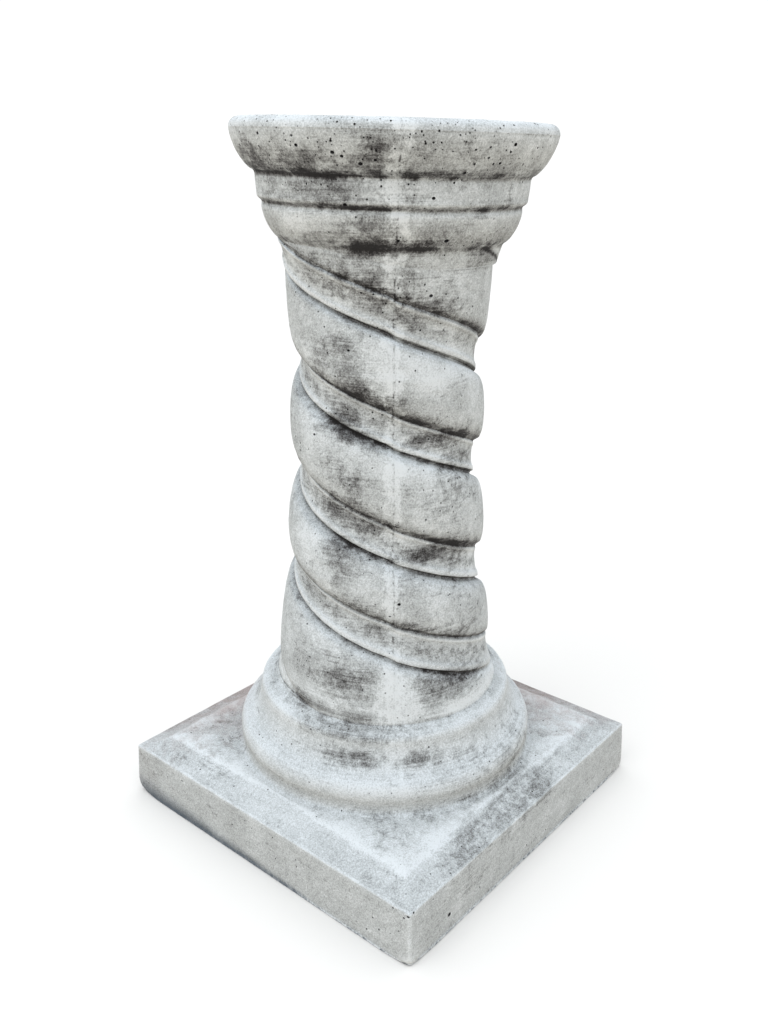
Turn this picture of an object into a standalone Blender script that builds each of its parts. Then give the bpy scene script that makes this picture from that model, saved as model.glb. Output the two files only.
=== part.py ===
"""Twisted garden column, cast in one piece in grey cement.

A square plinth with a coved border carries a turned base, a shaft with two
left-handed lobes and two flat bands between them, and a turned round head.
Metres, +Z up, with the origin in the middle of the underside.
"""
import math

import bmesh
import bpy
from mathutils import Matrix, Vector

# Whole column: height of the head's top face on its axis
TOTAL_HEIGHT = 0.750

# Plinth: a square slab whose sides lean in a little towards the arris
PLINTH_SIDE = 0.4240
PLINTH_DRAFT = 0.0027
PLINTH_EDGE_HEIGHT = 0.0625
PLINTH_BORDER_WIDTH = 0.0333
PLINTH_BORDER_RISE = 0.0125
PLINTH_COVE_DEPTH = 0.0018
PLINTH_COVE_STEPS = 3
PLINTH_EDGE_ROUND = 0.0030
PLINTH_FOOT_ROUND = 0.0010
PLINTH_EDGE_SEGMENTS = 2

# Turned base: a wide torus on the plinth, a shallow hollow and a small roll
TORUS_RADIUS = 0.1705
TORUS_SECTION = 0.0210
TORUS_SEAT = 0.0005
ROLL_RADIUS = 0.1445
ROLL_SECTION = 0.0115
ROLL_HEIGHT = 0.0695
HOLLOW_DEPTH = 0.0040
BASE_CREASE_RADIUS = 0.1270
BASE_CREASE_DEPTH = 0.0020
BASE_ROOT = 0.0060

# Shaft: radius of the bands at the foot, at the waist and at the neck
SHAFT_FOOT_RADIUS = 0.1265
SHAFT_WAIST_RADIUS = 0.0908
SHAFT_NECK_RADIUS = 0.1095
WAIST_BELOW_TOP = 0.2260
FOOT_FLARE = 2.7
NECK_FLARE = 1.42
SHAFT_OVERLAP = 0.0100
SHAFT_ROW_HEIGHT = 0.0090

# Twist: two bands, two lobes, falling towards +X seen from the front
BAND_COUNT = 2
BAND_SPACING = 0.1103
BAND_BELOW_TOP = 0.1844
BAND_WIDTH = 0.0330
BAND_LIP = 0.0012
BAND_LIP_WIDTH = 0.0022
GROOVE_WIDTH = 0.0032
GROOVE_DEPTH = 0.0022
CREASE_WIDTH = 0.0030
CREASE_DEPTH = 0.0014
BAND_INNER_STEPS = 3

# The bands are not evenly wound: each falls faster towards the foot, the first
# from higher up, so that it ends lower than an even winding would by its sag
BAND_SAG = (0.0215, 0.0115)
BAND_SAG_REACH = (0.3000, 0.1050)

# Lobes: how far they stand out of the bands, and where that fades
LOBE_RELIEF = 0.0114
LOBE_FOOT_RELIEF = 0.0040
LOBE_FOOT_FADE = 0.1500
LOBE_NECK_FADE = 0.1200
LOBE_SKEW = 1.2
LOBE_FULLNESS = 0.52
LOBE_STEPS = 8

# Turned head: a disc with a rounded rim over two rings
HEAD_RADIUS = 0.1583
HEAD_RIM_ROUND = 0.0075
HEAD_WIDEST_BELOW_TOP = 0.0102
DISC_HEIGHT = 0.0510
DISC_FOOT_RADIUS = 0.1350
DISC_FULLNESS = 0.72
UPPER_RING_RADIUS = 0.1340
UPPER_RING_HOLLOW = 0.0008
UPPER_RING_HEIGHT = 0.0235
UPPER_RING_ROUND = 0.0035
LOWER_RING_RADIUS = 0.1288
LOWER_RING_HEIGHT = 0.0355
LOWER_RING_FOOT_RADIUS = 0.1118
LOWER_RING_FULLNESS = 0.62
HEAD_CREASE = 0.0012
HEAD_UNDERCUT = 0.0015

# The casting stands a little crooked: the shaft drifts aside up to the neck,
# and the head sits a little further aside and out of level
CROOKED_TOWARDS_DEG = 45.0
NECK_SHIFT = 0.0030
HEAD_SHIFT = 0.0055
HEAD_LEAN_DEG = 1.4

# Facets
TURN_SEGMENTS = 56
SMOOTH_BELOW_DEG = 34.0

CEMENT_GREY = (0.42, 0.43, 0.43, 1.0)
CEMENT_ROUGHNESS = 0.85

# Heights that follow from the sizes above
PLATEAU = PLINTH_EDGE_HEIGHT + PLINTH_BORDER_RISE
SHAFT_FOOT = PLATEAU + ROLL_HEIGHT + ROLL_SECTION
HEAD_HEIGHT = DISC_HEIGHT + UPPER_RING_HEIGHT + LOWER_RING_HEIGHT
SHAFT_NECK = TOTAL_HEIGHT - HEAD_HEIGHT
BAND_LEAD = BAND_SPACING * BAND_COUNT
ASIDE = Vector((math.cos(math.radians(CROOKED_TOWARDS_DEG)), math.sin(math.radians(CROOKED_TOWARDS_DEG)), 0.0))


def clear_scene():
    for item in list(bpy.data.objects):
        bpy.data.objects.remove(item, do_unlink=True)


def new_collection(name):
    collection = bpy.data.collections.new(name)
    bpy.context.scene.collection.children.link(collection)
    return collection


def cement():
    material = bpy.data.materials.new("cast_cement")
    material.use_nodes = True
    shader = material.node_tree.nodes["Principled BSDF"]
    shader.inputs["Base Color"].default_value = CEMENT_GREY
    shader.inputs["Roughness"].default_value = CEMENT_ROUGHNESS
    shader.inputs["Metallic"].default_value = 0.0
    return material


def add_object(name, mesh, collection):
    piece = bpy.data.objects.new(name, mesh)
    collection.objects.link(piece)
    return piece


def arc(centre, radius, start_deg, end_deg, steps):
    """Points on a circle in the (radius, height) plane, 0 degrees pointing outwards."""
    points = []
    for step in range(steps + 1):
        angle = math.radians(start_deg + (end_deg - start_deg) * step / steps)
        points.append((centre[0] + radius * math.cos(angle), centre[1] + radius * math.sin(angle)))
    return points


def bow(start, end, fullness, steps):
    """A quarter of a superellipse from start, where it runs down, to end, where it runs in."""
    points = []
    for step in range(1, steps + 1):
        angle = 0.5 * math.pi * step / steps
        inward = 1.0 - math.cos(angle) ** (2.0 * fullness)
        downward = math.sin(angle) ** (2.0 * fullness)
        points.append((start[0] + (end[0] - start[0]) * inward, start[1] + (end[1] - start[1]) * downward))
    return points


def hollow(start, end, depth, steps):
    """Points between start and end on a curve that sinks in by depth half way."""
    across = (end[0] - start[0], end[1] - start[1])
    length = math.hypot(across[0], across[1])
    inward = (across[1] / length, -across[0] / length)
    points = []
    for step in range(1, steps):
        share = step / steps
        sink = 4.0 * depth * share * (1.0 - share)
        points.append((start[0] + across[0] * share + inward[0] * sink,
                       start[1] + across[1] * share + inward[1] * sink))
    return points


def turned(name, profile, collection):
    """A profile of (radius, height) points, from top to bottom, turned about the Z axis."""
    mesh = bpy.data.meshes.new(name)
    points = [(radius, 0.0, height) for radius, height in profile]
    mesh.from_pydata(points, [(i, i + 1) for i in range(len(points) - 1)], [])
    piece = add_object(name, mesh, collection)
    screw = piece.modifiers.new("Turn", "SCREW")
    screw.steps = TURN_SEGMENTS
    screw.render_steps = TURN_SEGMENTS
    screw.use_merge_vertices = True
    screw.merge_threshold = 0.00001
    screw.use_smooth_shade = True
    return piece


def plinth(collection):
    """The slab: a cube with its top face pushed up in steps along the cove of the border."""
    half_foot = PLINTH_SIDE / 2
    half_edge = half_foot - PLINTH_DRAFT
    shape = bmesh.new()
    bmesh.ops.create_cube(shape, size=2.0)
    for corner in shape.verts:
        top = corner.co.z > 0
        half = half_edge if top else half_foot
        corner.co = (math.copysign(half, corner.co.x), math.copysign(half, corner.co.y),
                     PLINTH_EDGE_HEIGHT if top else 0.0)
    foot = min(shape.faces, key=lambda item: item.calc_center_median().z)
    weights = shape.edges.layers.float.new("bevel_weight_edge")
    for edge in shape.edges:
        edge[weights] = PLINTH_FOOT_ROUND / PLINTH_EDGE_ROUND if foot in edge.link_faces else 1.0
    face = max(shape.faces, key=lambda item: item.calc_center_median().z)
    for step in range(1, PLINTH_COVE_STEPS + 1):
        share = step / PLINTH_COVE_STEPS
        sag = PLINTH_COVE_DEPTH * 4.0 * share * (1.0 - share)
        half = half_edge - PLINTH_BORDER_WIDTH * share
        height = PLINTH_EDGE_HEIGHT + PLINTH_BORDER_RISE * share - sag
        grown = bmesh.ops.extrude_discrete_faces(shape, faces=[face])
        face = grown["faces"][0]
        for corner in face.verts:
            corner.co = (math.copysign(half, corner.co.x), math.copysign(half, corner.co.y), height)
    mesh = bpy.data.meshes.new("plinth")
    shape.to_mesh(mesh)
    shape.free()
    piece = add_object("plinth", mesh, collection)
    bevel = piece.modifiers.new("Worn edges", "BEVEL")
    bevel.width = PLINTH_EDGE_ROUND
    bevel.segments = PLINTH_EDGE_SEGMENTS
    bevel.limit_method = "WEIGHT"
    return piece


def base_profile():
    torus = (TORUS_RADIUS - TORUS_SECTION, PLATEAU + TORUS_SECTION - TORUS_SEAT)
    roll = (ROLL_RADIUS - ROLL_SECTION, PLATEAU + ROLL_HEIGHT)
    crease = (BASE_CREASE_RADIUS, SHAFT_FOOT - BASE_CREASE_DEPTH)
    profile = [(0.0, crease[1]), crease]
    upper = arc(roll, ROLL_SECTION, 100.0, -20.0, 6)
    lower = arc(torus, TORUS_SECTION, 62.0, -74.0, 8)
    profile += upper + hollow(upper[-1], lower[0], HOLLOW_DEPTH, 3) + lower
    root = (torus[0], PLATEAU - BASE_ROOT)
    profile += [root, (0.0, root[1])]
    return profile


def head_profile():
    """Heights are measured from the head's foot, where it leans from."""
    top = HEAD_HEIGHT
    rim = (HEAD_RADIUS - HEAD_RIM_ROUND, top - HEAD_RIM_ROUND)
    widest = (HEAD_RADIUS, top - HEAD_WIDEST_BELOW_TOP)
    disc_foot = (DISC_FOOT_RADIUS, top - DISC_HEIGHT)
    ring_top = disc_foot[1] - HEAD_CREASE
    ring_foot = disc_foot[1] - UPPER_RING_HEIGHT
    ring_edge = (UPPER_RING_RADIUS - UPPER_RING_ROUND, ring_foot + UPPER_RING_ROUND)
    profile = [(0.0, top)]
    profile += arc(rim, HEAD_RIM_ROUND, 90.0, 0.0, 4)
    profile.append(widest)
    profile += bow(widest, disc_foot, DISC_FULLNESS, 6)
    profile.append((UPPER_RING_RADIUS - HEAD_UNDERCUT, ring_top))
    profile.append((UPPER_RING_RADIUS, ring_top - HEAD_CREASE))
    profile.append((UPPER_RING_RADIUS - UPPER_RING_HOLLOW, (ring_top + ring_edge[1]) / 2))
    profile += arc(ring_edge, UPPER_RING_ROUND, 0.0, -75.0, 2)
    lower_top = (LOWER_RING_RADIUS, ring_foot - HEAD_CREASE)
    profile.append(lower_top)
    profile += bow(lower_top, (LOWER_RING_FOOT_RADIUS, 0.0), LOWER_RING_FULLNESS, 5)
    profile.append((0.0, 0.0))
    return profile


def band_radius(height):
    """The shaft without its lobes: narrowest at the waist, flared to the foot and the neck."""
    waist = TOTAL_HEIGHT - WAIST_BELOW_TOP
    if height < waist:
        share = (waist - height) / (waist - SHAFT_FOOT)
        return SHAFT_WAIST_RADIUS + (SHAFT_FOOT_RADIUS - SHAFT_WAIST_RADIUS) * share ** FOOT_FLARE
    share = (height - waist) / (SHAFT_NECK - waist)
    return SHAFT_WAIST_RADIUS + (SHAFT_NECK_RADIUS - SHAFT_WAIST_RADIUS) * share ** NECK_FLARE


def lobe_relief(height):
    """The lobes flatten towards the neck, and towards the foot down to a smaller relief."""
    neck = min(1.0, max(0.0, (SHAFT_NECK - height) / LOBE_NECK_FADE))
    foot = min(1.0, max(0.0, (height - SHAFT_FOOT) / LOBE_FOOT_FADE))
    return neck * (LOBE_FOOT_RELIEF + (LOBE_RELIEF - LOBE_FOOT_RELIEF) * foot)


def crooked_axis(height):
    """Where the shaft's middle lies at a height."""
    return ASIDE * (NECK_SHIFT * (height - SHAFT_FOOT) / (SHAFT_NECK - SHAFT_FOOT))


def band_sag(band, height):
    """How much lower a band runs at a height than its even winding would."""
    share = (SHAFT_FOOT + BAND_SAG_REACH[band] - height) / BAND_SAG_REACH[band]
    return BAND_SAG[band] * min(1.0, max(0.0, share))


def section(span):
    """One band and the lobe under it: (drop below the band's upper edge, lobe share, offset)."""
    points = [(0.0, 0.0, BAND_LIP), (BAND_LIP_WIDTH, 0.0, BAND_LIP)]
    face_top = BAND_LIP_WIDTH * 2.0
    face_width = BAND_WIDTH - 2.0 * face_top
    for step in range(BAND_INNER_STEPS + 1):
        points.append((face_top + face_width * step / BAND_INNER_STEPS, 0.0, 0.0))
    points.append((BAND_WIDTH - BAND_LIP_WIDTH, 0.0, BAND_LIP))
    points.append((BAND_WIDTH, 0.0, BAND_LIP))
    points.append((BAND_WIDTH + GROOVE_WIDTH / 2, 0.0, -GROOVE_DEPTH))
    lobe_top = BAND_WIDTH + GROOVE_WIDTH
    lobe_foot = span - CREASE_WIDTH
    points.append((lobe_top, 0.0, 0.0))
    for step in range(1, LOBE_STEPS):
        even = step / LOBE_STEPS
        share = 0.5 * (even + 0.5 - 0.5 * math.cos(math.pi * even))
        lift = math.sin(math.pi * share ** LOBE_SKEW) ** LOBE_FULLNESS
        points.append((lobe_top + (lobe_foot - lobe_top) * share, lift, 0.0))
    points.append((lobe_foot, 0.0, 0.0))
    points.append((span - CREASE_WIDTH / 3, 0.0, -CREASE_DEPTH))
    return points


def shaft(collection):
    """A loft of level rings whose points follow the bands and lobes round the shaft."""
    bottom = SHAFT_FOOT - SHAFT_OVERLAP
    top = SHAFT_NECK + SHAFT_OVERLAP
    rows = max(8, round((top - bottom) / SHAFT_ROW_HEIGHT))
    shape = bmesh.new()
    rings = []
    for row in range(rows + 1):
        height = bottom + (top - bottom) * row / rows
        held = min(max(height, SHAFT_FOOT - BASE_CREASE_DEPTH), SHAFT_NECK)
        core = band_radius(held)
        relief = lobe_relief(held)
        middle = crooked_axis(held)
        ring = []
        for band in range(BAND_COUNT):
            edge = TOTAL_HEIGHT - BAND_BELOW_TOP - band * BAND_SPACING - band_sag(band, height)
            next_sag = band_sag((band + 1) % BAND_COUNT, height)
            for drop, lift, offset in section(BAND_SPACING + next_sag - band_sag(band, height)):
                angle = 2.0 * math.pi * (edge - height - drop) / BAND_LEAD
                radius = core + relief * lift + offset
                around = Vector((math.cos(angle), math.sin(angle), 0.0))
                ring.append(shape.verts.new(middle + around * radius + Vector((0.0, 0.0, height))))
        rings.append(ring)
    count = len(rings[0])
    for low, high in zip(rings, rings[1:]):
        for i in range(count):
            j = (i + 1) % count
            shape.faces.new((low[j], low[i], high[i], high[j]))
    shape.faces.new(rings[0])
    shape.faces.new(rings[-1][::-1])
    bmesh.ops.triangulate(shape, faces=shape.faces[:], quad_method="SHORT_EDGE")
    mesh = bpy.data.meshes.new("twisted_column")
    shape.to_mesh(mesh)
    shape.free()
    return add_object("twisted_column", mesh, collection)


def set_head(head):
    """Set the head on the neck, a little aside and out of level."""
    tip = Matrix.Rotation(math.radians(HEAD_LEAN_DEG), 4, Vector((0.0, 0.0, 1.0)).cross(ASIDE))
    head.matrix_world = Matrix.Translation(ASIDE * HEAD_SHIFT + Vector((0.0, 0.0, SHAFT_NECK))) @ tip


def fuse(body, parts):
    """Join the mouldings and the plinth to the shaft as the single casting."""
    for part in parts:
        part.hide_render = True
        part.display_type = "WIRE"
        union = body.modifiers.new("Join " + part.name, "BOOLEAN")
        union.operation = "UNION"
        union.solver = "EXACT"
        union.object = part


def main():
    clear_scene()
    column = new_collection("twisted_column")
    joined = new_collection("joined_parts")
    body = shaft(column)
    slab = plinth(joined)
    base = turned("base_moulding", base_profile(), joined)
    head = turned("head_moulding", head_profile(), joined)
    set_head(head)
    fuse(body, (base, slab, head))
    body.data.shade_smooth()
    body.data.set_sharp_from_angle(angle=math.radians(SMOOTH_BELOW_DEG))
    grey = cement()
    for piece in (body, slab, base, head):
        piece.data.materials.append(grey)


main()
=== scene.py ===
"""Twisted garden column in grey cast cement, standing on a pale floor in soft studio light.

The column is one casting. It is modelled moulding by moulding, as its pattern was made, then fused, roughened, coloured
with its weathering and given painted light and shade as one piece.
"""
import math

import bmesh
import bpy
import numpy as np
from mathutils import Matrix, Vector


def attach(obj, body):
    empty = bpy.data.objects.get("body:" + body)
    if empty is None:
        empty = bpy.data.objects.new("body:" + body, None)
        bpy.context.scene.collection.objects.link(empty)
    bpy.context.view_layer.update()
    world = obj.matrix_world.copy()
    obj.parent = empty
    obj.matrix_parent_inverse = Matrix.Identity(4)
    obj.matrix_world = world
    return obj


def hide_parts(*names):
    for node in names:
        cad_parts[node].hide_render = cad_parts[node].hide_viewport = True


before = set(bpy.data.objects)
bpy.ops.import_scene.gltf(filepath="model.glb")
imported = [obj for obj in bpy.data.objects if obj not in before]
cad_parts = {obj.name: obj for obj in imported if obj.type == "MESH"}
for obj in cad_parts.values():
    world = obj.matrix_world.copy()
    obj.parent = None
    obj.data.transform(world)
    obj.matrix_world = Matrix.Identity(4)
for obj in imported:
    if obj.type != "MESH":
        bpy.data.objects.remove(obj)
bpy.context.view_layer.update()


# The viewpoint: level with the head, in front of the plinth's front corner and
# looking down the shaft, so that the top face is seen edge-on.
CAMERA_PLACE = (0.6441, -0.7568, 0.7301)
CAMERA_TURN_DEG = 40.473
CAMERA_DOWN_DEG = 20.996
CAMERA_ROLL_DEG = 0.08
LENS_MM = 33.91
SENSOR_WIDTH_MM = 36.0
NEAREST_SEEN = 0.01

camera_lens = bpy.data.cameras.new("portrait_camera")
camera_lens.lens = LENS_MM
camera_lens.sensor_width = SENSOR_WIDTH_MM
camera_lens.clip_start = NEAREST_SEEN
camera = bpy.data.objects.new("portrait_camera", camera_lens)
camera.matrix_world = (Matrix.Translation(CAMERA_PLACE)
                       @ Matrix.Rotation(math.radians(CAMERA_TURN_DEG), 4, "Z")
                       @ Matrix.Rotation(math.radians(90.0 - CAMERA_DOWN_DEG), 4, "X")
                       @ Matrix.Rotation(math.radians(CAMERA_ROLL_DEG), 4, "Z"))
bpy.context.scene.collection.objects.link(camera)
bpy.context.scene.camera = camera


# The cement: grey Portland cement and fine sand, cast against a mould and brushed
# over with a dark wash that stays in the hollows. It is matt, chalky on its arrises,
# pitted by air bubbles and streaked by the brush.
# Part of its colour is painted light: hollows, creases, band faces, undersides and holes are darkened in part as
# painted shade, arrises and what faces up lightened in part as painted light, and it is tinted cooler above and warmer
# below as painted light.
CEMENT_TONES = [(0.0, "#CED2D4"), (0.2, "#B3B7B8"), (0.4, "#969999"), (0.6, "#707171"), (0.8, "#474646"),
                (1.0, "#211F1E")]
# painted light: a cool tint for what faces up and a warm one for what faces down
COOL_LIGHT_ABOVE = "#F6FAFE"
WARM_LIGHT_BELOW = "#FFF8EE"
# painted shadow: a dark blue for the plinth's foot
FOOT_SHADOW_BLUE = "#2F3A46"
# a mauve-brown tint for the plinth towards its back corner
BACK_CORNER_MAUVE = "#C2ABA4"
# level directions, as the photographer saw the plinth: to the right, across the mould's
# parting line, and to the back, away from the near corner
TO_RIGHT = (0.7071, 0.7071, 0.0)
TO_BACK = (-0.7071, 0.7071, 0.0)
FOOT_OF_SHAFT = 0.175


def linear(colour):
    """An sRGB hex colour as linear RGBA."""
    parts = [int(colour[i:i + 2], 16) / 255 for i in (1, 3, 5)]
    return [c / 12.92 if c <= 0.04045 else ((c + 0.055) / 1.055) ** 2.4 for c in parts] + [1.0]


def add(tree, kind, inputs=None, out=0, **settings):
    """Add a node with its settings and its inputs, which are values or other nodes' outputs."""
    node = tree.nodes.new(kind)
    for name, value in settings.items():
        setattr(node, name, value)
    for key, value in (inputs or {}).items():
        if isinstance(value, bpy.types.NodeSocket):
            tree.links.new(value, node.inputs[key])
        else:
            node.inputs[key].default_value = value
    return node if out is None else node.outputs[out]


cement = bpy.data.materials.new("cast_cement_with_wash_and_painted_light")
cement.use_nodes = True
cement.node_tree.nodes.clear()
t = cement.node_tree
place = add(t, "ShaderNodeTexCoord", out="Object")
axes = add(t, "ShaderNodeSeparateXYZ", {0: place}, out=None).outputs
facing = add(t, "ShaderNodeSeparateXYZ", {0: add(t, "ShaderNodeNewGeometry", out="Normal")}, out="Z")
# these attributes carry dark wash and rubbed wear, and also painted shade in hollows, creases and band faces and a
# painted highlight on arrises
hollow = add(t, "ShaderNodeAttribute", attribute_name="hollow", out="Fac")
arris = add(t, "ShaderNodeAttribute", attribute_name="arris", out="Fac")
wash_and_shade = add(t, "ShaderNodeAttribute", attribute_name="wash_and_shade", out="Fac")

# clouds of 50 mm in the cement, torn edges of 18 mm, blotches of 7 mm, and sand of 1 to 2 mm
clouds = add(t, "ShaderNodeTexNoise", {"Vector": place, "Scale": 20.0, "Detail": 4.0, "Roughness": 0.6})
tears = add(t, "ShaderNodeTexNoise", {"Vector": place, "Scale": 55.0, "Detail": 7.0, "Roughness": 0.72})
aslant = add(t, "ShaderNodeMapping", {"Vector": place, "Rotation": (0.7, 0.4, 0.9)})
blotches = add(t, "ShaderNodeTexNoise", {"Vector": aslant, "Scale": 140.0, "Detail": 5.0, "Roughness": 0.7})
sand = add(t, "ShaderNodeTexNoise", {"Vector": aslant, "Scale": 600.0, "Detail": 4.0, "Roughness": 0.8})

# brush marks run round the column, about 50 mm long and 2 mm apart; beside the mould's
# parting line, trowel scrapes run down the foot, about 40 mm long and 3 mm apart
brushed = add(t, "ShaderNodeMapping", {"Vector": place, "Scale": (20.0, 20.0, 450.0)})
brush = add(t, "ShaderNodeTexNoise", {"Vector": brushed, "Scale": 1.0, "Detail": 2.0, "Roughness": 0.65})
scraped = add(t, "ShaderNodeMapping", {"Vector": place, "Scale": (300.0, 300.0, 25.0)})
scrape = add(t, "ShaderNodeTexNoise", {"Vector": scraped, "Scale": 1.0, "Detail": 2.0, "Roughness": 0.65})
over_foot = add(t, "ShaderNodeMath", {0: axes["Z"], 1: FOOT_OF_SHAFT}, operation="SUBTRACT")
from_foot = add(t, "ShaderNodeMath", {0: over_foot}, operation="ABSOLUTE")
at_foot = add(t, "ShaderNodeMapRange", {"Value": from_foot, "From Min": 0.060, "From Max": 0.025})
across = add(t, "ShaderNodeVectorMath", {0: place, 1: TO_RIGHT}, out="Value", operation="DOT_PRODUCT")
off_line = add(t, "ShaderNodeMath", {0: across}, operation="ABSOLUTE")
by_line = add(t, "ShaderNodeMapRange", {"Value": off_line, "From Min": 0.024, "From Max": 0.016})
trowelled = add(t, "ShaderNodeMath", {0: at_foot, 1: by_line}, operation="MULTIPLY")
marks = add(t, "ShaderNodeMix", {0: trowelled, 2: brush, 3: scrape})

# how dark each spot is, from its wash, its own tone and painted light and shade: 0 is bare chalky cement, 1 is black in
# a crack
on_base = add(t, "ShaderNodeMapRange", {"Value": axes["Z"], "From Min": 0.165, "From Max": 0.150})
cloud = add(t, "ShaderNodeMath", {0: clouds, 1: 0.5}, operation="SUBTRACT")
cloudiness = add(t, "ShaderNodeMath", {0: on_base, 1: -0.45, 2: 0.75}, operation="MULTIPLY_ADD")
cloudy = add(t, "ShaderNodeMath", {0: cloud, 1: cloudiness}, operation="MULTIPLY")
blotch = add(t, "ShaderNodeMath", {0: blotches, 1: 0.5}, operation="SUBTRACT")
blotchiness = add(t, "ShaderNodeMath", {0: on_base, 1: -0.20, 2: 0.48}, operation="MULTIPLY_ADD")
blotchy = add(t, "ShaderNodeMath", {0: blotch, 1: blotchiness}, operation="MULTIPLY")
tone = add(t, "ShaderNodeMath", {0: cloudy, 1: blotchy}, operation="ADD")
tone = add(t, "ShaderNodeMath", {0: marks, 1: 0.12, 2: tone}, operation="MULTIPLY_ADD")
tone = add(t, "ShaderNodeMath", {0: sand, 1: 1.3, 2: tone}, operation="MULTIPLY_ADD")
on_plinth = add(t, "ShaderNodeMapRange", {"Value": axes["Z"], "From Min": 0.11, "From Max": 0.08})
tone = add(t, "ShaderNodeMath", {0: on_plinth, 1: 0.05, 2: tone}, operation="MULTIPLY_ADD")
tone = add(t, "ShaderNodeMath", {0: on_base, 1: -0.03, 2: tone}, operation="MULTIPLY_ADD")
tone = add(t, "ShaderNodeMath", {0: tone, 1: 0.465}, operation="SUBTRACT")

# patches of wash, with the painted shadow lines and band shade laid among them, have torn, brushed edges
torn = add(t, "ShaderNodeMath", {0: tears, 1: 1.6, 2: wash_and_shade}, operation="MULTIPLY_ADD")
torn = add(t, "ShaderNodeMath", {0: blotches, 1: 1.0, 2: torn}, operation="MULTIPLY_ADD")
torn = add(t, "ShaderNodeMath", {0: marks, 1: 0.75, 2: torn}, operation="MULTIPLY_ADD")
patches = add(t, "ShaderNodeMapRange", {"Value": torn, "From Min": 1.86, "From Max": 3.00, "To Max": 0.72})
tone = add(t, "ShaderNodeMath", {0: tone, 1: patches}, operation="ADD")

# the hollows and the undersides are darkened, unevenly: the hollows partly as wash and partly as painted shade, the
# undersides as painted shade; what faces up is lightened as painted light
uneven = add(t, "ShaderNodeMapRange", {"Value": tears, "From Min": 0.32, "From Max": 0.68, "To Min": 0.3})
tone = add(t, "ShaderNodeMath", {0: hollow, 1: uneven, 2: tone}, operation="MULTIPLY_ADD")
underside_shade = add(t, "ShaderNodeMapRange", {"Value": facing, "From Min": -0.12, "From Max": -0.8, "To Max": 0.50})
tone = add(t, "ShaderNodeMath", {0: underside_shade, 1: uneven, 2: tone}, operation="MULTIPLY_ADD")
top_light = add(t, "ShaderNodeMapRange", {"Value": facing, "From Min": 0.0, "From Max": 0.6, "To Max": -0.06})
tone = add(t, "ShaderNodeMath", {0: tone, 1: top_light}, operation="ADD")

# arrises are lightened, partly rubbed back to chalky cement and partly as a painted highlight along them
worn_and_lit = add(t, "ShaderNodeMapRange", {"Value": blotches, "From Min": 0.35, "From Max": 0.6,
                                     "To Min": -0.08, "To Max": -0.34})
tone = add(t, "ShaderNodeMath", {0: arris, 1: worn_and_lit, 2: tone}, operation="MULTIPLY_ADD")

# the mould's parting line: a scoured strip of ragged width, 12 to 20 mm, with a fine ridge down it, darkened here and
# there with painted shade as of pits; the foot and the plinth are scoured less
ragged = add(t, "ShaderNodeMath", {0: tears, 1: 0.055, 2: off_line}, operation="MULTIPLY_ADD")
strip = add(t, "ShaderNodeMapRange", {"Value": ragged, "From Min": 0.0375, "From Max": 0.0335, "To Max": -0.17})
cleaned = add(t, "ShaderNodeMapRange", {"Value": axes["Z"], "From Min": 0.10, "From Max": 0.30, "To Min": 0.15})
upright = add(t, "ShaderNodeMapRange", {"Value": facing, "From Min": 0.95, "From Max": 0.85})
cleaned = add(t, "ShaderNodeMath", {0: cleaned, 1: upright}, operation="MULTIPLY")
tone = add(t, "ShaderNodeMath", {0: strip, 1: cleaned, 2: tone}, operation="MULTIPLY_ADD")
wandering = add(t, "ShaderNodeMath", {0: tears, 1: 0.006, 2: across}, operation="MULTIPLY_ADD")
wandering = add(t, "ShaderNodeMath", {0: wandering, 1: 0.003}, operation="SUBTRACT")
off_ridge = add(t, "ShaderNodeMath", {0: wandering}, operation="ABSOLUTE")
ridge = add(t, "ShaderNodeMapRange", {"Value": off_ridge, "From Min": 0.0014, "From Max": 0.0003})
ridge = add(t, "ShaderNodeMath", {0: ridge, 1: cleaned}, operation="MULTIPLY")
pitted = add(t, "ShaderNodeMapRange", {"Value": blotches, "From Min": 0.47, "From Max": 0.60, "To Max": 0.42})
tone = add(t, "ShaderNodeMath", {0: ridge, 1: pitted, 2: tone}, operation="MULTIPLY_ADD")

# pinholes: air bubbles under 2 mm across, in cells 4 mm wide: in a third of the cells on the
# disc, in one of twenty on the shaft and in still fewer on the base
cells = add(t, "ShaderNodeTexVoronoi", {"Vector": place, "Scale": 250.0}, out=None).outputs
lot = add(t, "ShaderNodeSeparateColor", {0: cells["Color"]}, out="Red")
rarity = add(t, "ShaderNodeMapRange", {"Value": axes["Z"], "From Min": 0.69, "From Max": 0.71,
                                       "To Min": 0.955, "To Max": 0.68})
rarity = add(t, "ShaderNodeMath", {0: on_base, 1: 0.03, 2: rarity}, operation="MULTIPLY_ADD")
opened = add(t, "ShaderNodeMath", {0: lot, 1: rarity}, operation="GREATER_THAN")
hole_size = add(t, "ShaderNodeMapRange", {"Value": lot, "From Min": 0.7, "From Max": 1.0,
                                          "To Min": 0.10, "To Max": 0.24})
pinhole = add(t, "ShaderNodeMath", {0: cells["Distance"], 1: hole_size}, operation="LESS_THAN")
pinhole = add(t, "ShaderNodeMath", {0: pinhole, 1: opened}, operation="MULTIPLY")
# painted shade: each open pinhole is darkened, as the shade inside it would be
tone = add(t, "ShaderNodeMath", {0: pinhole, 1: 0.6, 2: tone}, operation="MULTIPLY_ADD")

# painted shade: the walls of the open air holes are darkened too
hole_wall_shade = add(t, "ShaderNodeAttribute", attribute_name="bubble", out="Fac")
tone = add(t, "ShaderNodeMath", {0: hole_wall_shade, 1: 0.45, 2: tone}, operation="MULTIPLY_ADD")

ramp = add(t, "ShaderNodeValToRGB", {0: tone}, out=None)
for i, (stop, colour) in enumerate(CEMENT_TONES):
    if 0 < i < len(CEMENT_TONES) - 1:
        ramp.color_ramp.elements.new(stop)
    ramp.color_ramp.elements[i].position = stop
    ramp.color_ramp.elements[i].color = linear(colour)

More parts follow.
